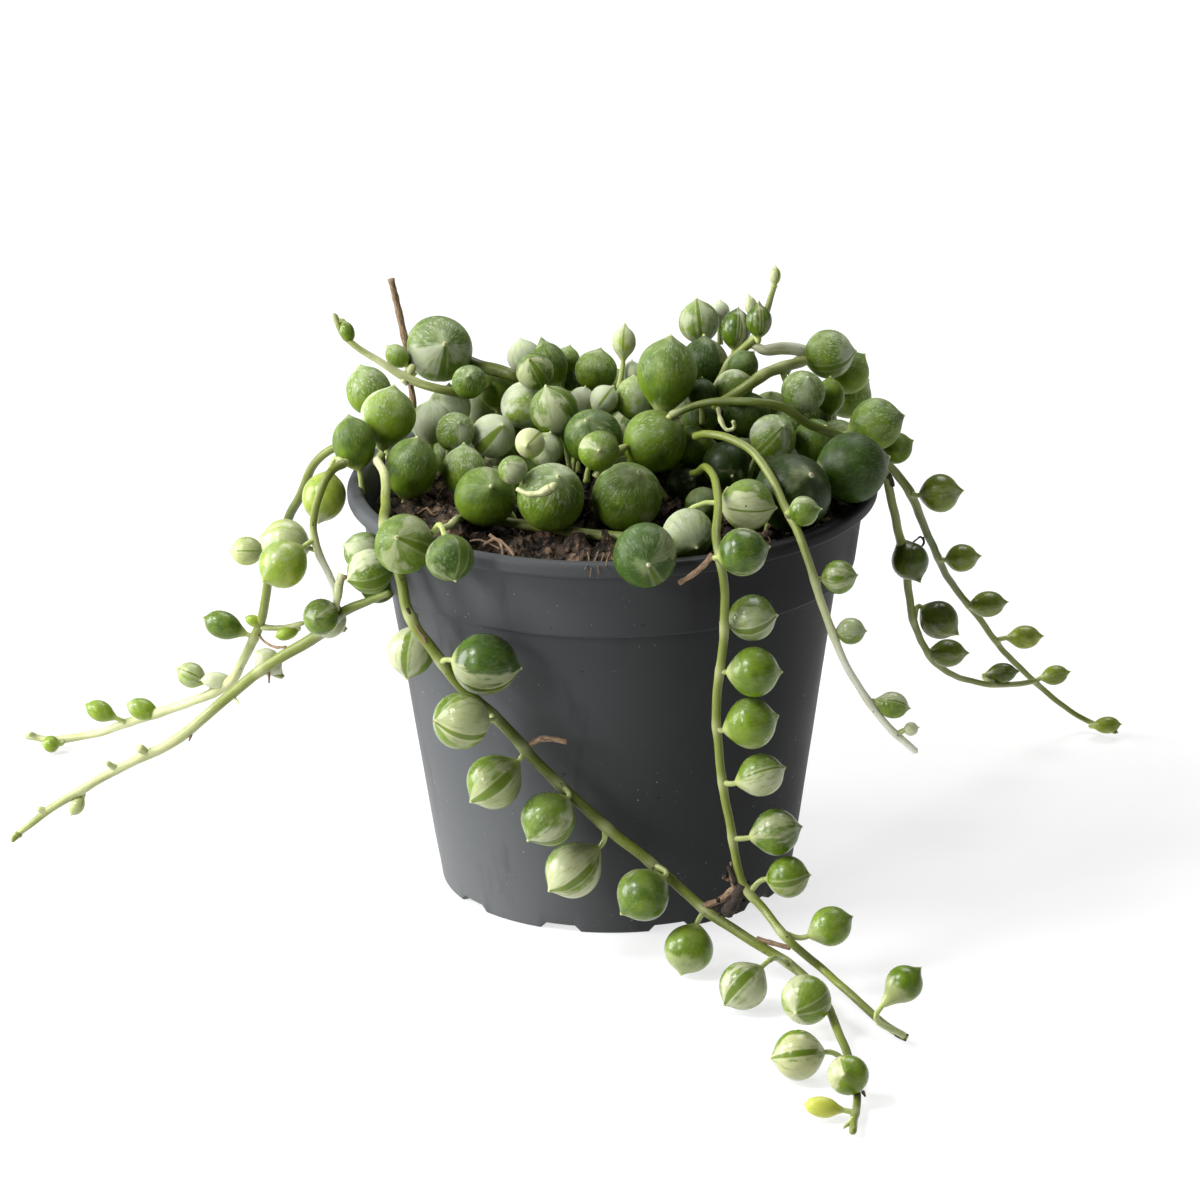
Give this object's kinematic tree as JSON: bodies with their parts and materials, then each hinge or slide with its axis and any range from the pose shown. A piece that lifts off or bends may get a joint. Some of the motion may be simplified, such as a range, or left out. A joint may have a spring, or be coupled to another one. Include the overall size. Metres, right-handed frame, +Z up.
{
  "type": "potted string of pearls",
  "caption": "Variegated string of pearls in a small tapered plastic nursery pot: round pearl-like leaves heaped on the soil, with thin beaded stems trailing over the rim.",
  "frame": {"origin": "middle of the pot's underside, on the surface that the pot stands on", "axes": "+Z up, -Y towards the front of the plant, which the picture shows; +X to the right of the front"},
  "size_m": [0.1895, 0.1711, 0.0969],
  "materials": {
    "plastic": "dark grey moulded polypropylene, lightly scuffed",
    "soil": "dark fibrous potting mix",
    "stem": "satin pale green living stem",
    "pearl": "waxy green pearl with cream and silver variegation",
    "bark": "dry brown twig"
  },
  "bodies": {
    "root": {"pot": "plastic", "soil": "soil", "stem_front_left": "stem", "stem_front_right": "stem", "stem_side_right": "stem", "stem_right": "stem", "stem_left_low": "stem", "stem_left_high": "stem", "shoot_top_left": "stem", "stem_on_soil": "stem", "stem_crown_upper": "stem", "stem_crown_crossing": "stem", "stem_crown_old": "stem", "dry_twig": "bark", "leaf_front_left_01": "pearl", "leaf_front_left_02": "pearl", "leaf_front_left_03": "pearl", "leaf_front_left_04": "pearl", "leaf_front_left_05": "pearl", "leaf_front_left_06": "pearl", "leaf_front_left_07": "pearl", "leaf_front_left_08": "pearl", "leaf_front_left_09": "pearl", "leaf_front_left_10": "pearl", "leaf_front_left_11": "pearl", "leaf_front_right_01": "pearl", "leaf_front_right_02": "pearl", "leaf_front_right_03": "pearl", "leaf_front_right_04": "pearl", "leaf_front_right_05": "pearl", "leaf_front_right_06": "pearl", "leaf_front_right_07": "pearl", "leaf_front_right_08": "pearl", "leaf_front_right_09": "pearl", "leaf_left_01": "pearl", "leaf_left_02": "pearl", "leaf_left_03": "pearl", "leaf_crown_01": "pearl", "leaf_crown_02": "pearl", "leaf_crown_03": "pearl", "leaf_crown_04": "pearl", "leaf_crown_05": "pearl", "leaf_crown_07": "pearl", "leaf_crown_08": "pearl", "leaf_crown_09": "pearl", "leaf_crown_10": "pearl", "leaf_crown_11": "pearl", "leaf_crown_12": "pearl", "leaf_crown_13": "pearl", "leaf_crown_14": "pearl", "leaf_crown_15": "pearl", "leaf_crown_16": "pearl", "leaf_crown_17": "pearl", "leaf_crown_18": "pearl", "leaf_crown_19": "pearl", "leaf_crown_20": "pearl", "leaf_crown_21": "pearl", "leaf_crown_22": "pearl", "leaf_crown_23": "pearl", "leaf_crown_24": "pearl"}
  },
  "joints": []
}
